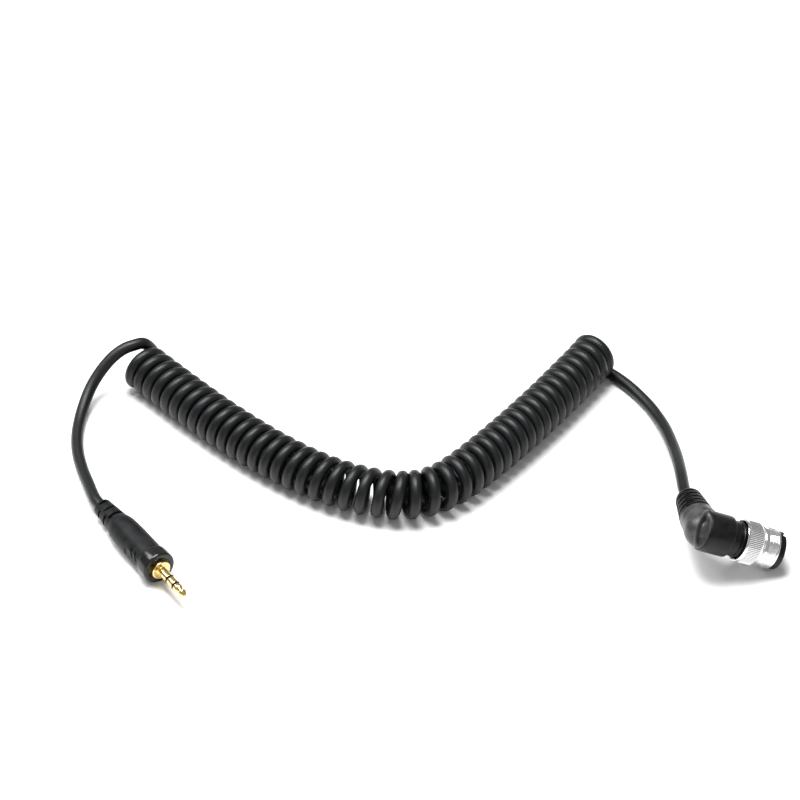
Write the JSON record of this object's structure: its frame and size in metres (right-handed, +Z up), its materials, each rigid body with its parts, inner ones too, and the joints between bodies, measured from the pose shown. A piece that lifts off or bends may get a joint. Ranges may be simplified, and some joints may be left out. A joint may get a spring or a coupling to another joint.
{
  "type": "camera remote release cord",
  "caption": "Curly electrical cord with a three-pole jack plug at one end and a right-angle screw-lock camera connector at the other.",
  "frame": {"origin": "on the table, under the middle of the box round the plug and the connector", "axes": "+Z up; +X from the jack plug's side to the camera connector's side; +Y from the two ends towards the curly stretch"},
  "size_m": [0.1861, 0.0959, 0.019],
  "materials": {
    "gold_plate": "polished gold plating",
    "black_insulator": "smooth black",
    "lug_brass": "stamped, bright",
    "white_mould": "matt",
    "soft_moulding": "satin black soft moulding",
    "gloss_moulding": "semi-gloss black",
    "cord_jacket": "fine-grained satin black",
    "wire_cover": "smooth",
    "solder": "bright tin",
    "steel": "turned",
    "hard_moulding": "fine satin black",
    "carrier_board": "paper laminate",
    "satin_chrome": "satin chrome, knurled, polished collar"
  },
  "bodies": {
    "cord_set": {"plug_tip_contact": "gold_plate", "plug_tip_insulator": "black_insulator", "plug_ring_contact": "gold_plate", "plug_ring_insulator": "black_insulator", "plug_sleeve_contact": "gold_plate", "plug_tip_lug": "lug_brass", "plug_ring_lug": "lug_brass", "plug_inner_mould": "white_mould", "plug_grip": "soft_moulding", "plug_front_rim": "gloss_moulding", "plug_strain_relief": "soft_moulding", "plug_cable_end": "cord_jacket", "plug_wires": "wire_cover", "plug_solder": "solder", "cord_tail_plug": "cord_jacket", "cord_coil": "cord_jacket", "cord_tail_connector": "cord_jacket", "elbow_strain_relief": "soft_moulding", "elbow_cable_end": "cord_jacket", "cable_ferrule": "steel", "elbow_housing": "soft_moulding", "barrel": "hard_moulding", "neck_bush": "hard_moulding", "connector_core": "steel", "contact_nose": "hard_moulding", "contact_block": "black_insulator", "contact_carrier": "carrier_board", "socket_contacts": "gold_plate", "connector_wires": "wire_cover", "connector_solder": "solder"},
    "ring_float": {"ring_retainer": "steel"},
    "locking_ring": {"lock_ring": "satin_chrome"}
  },
  "joints": [
    {"name": "ring_slide", "type": "slide", "parent": "cord_set", "child": "ring_float", "axis": [0.8921, 0.1095, -0.4384], "range_m": [-0.0024, 0]},
    {"name": "ring_turn", "type": "hinge", "parent": "ring_float", "child": "locking_ring", "pos_m": [0.0672, -0.003, 0.01405], "axis": [0.8921, 0.1095, -0.4384], "continuous": true}
  ]
}
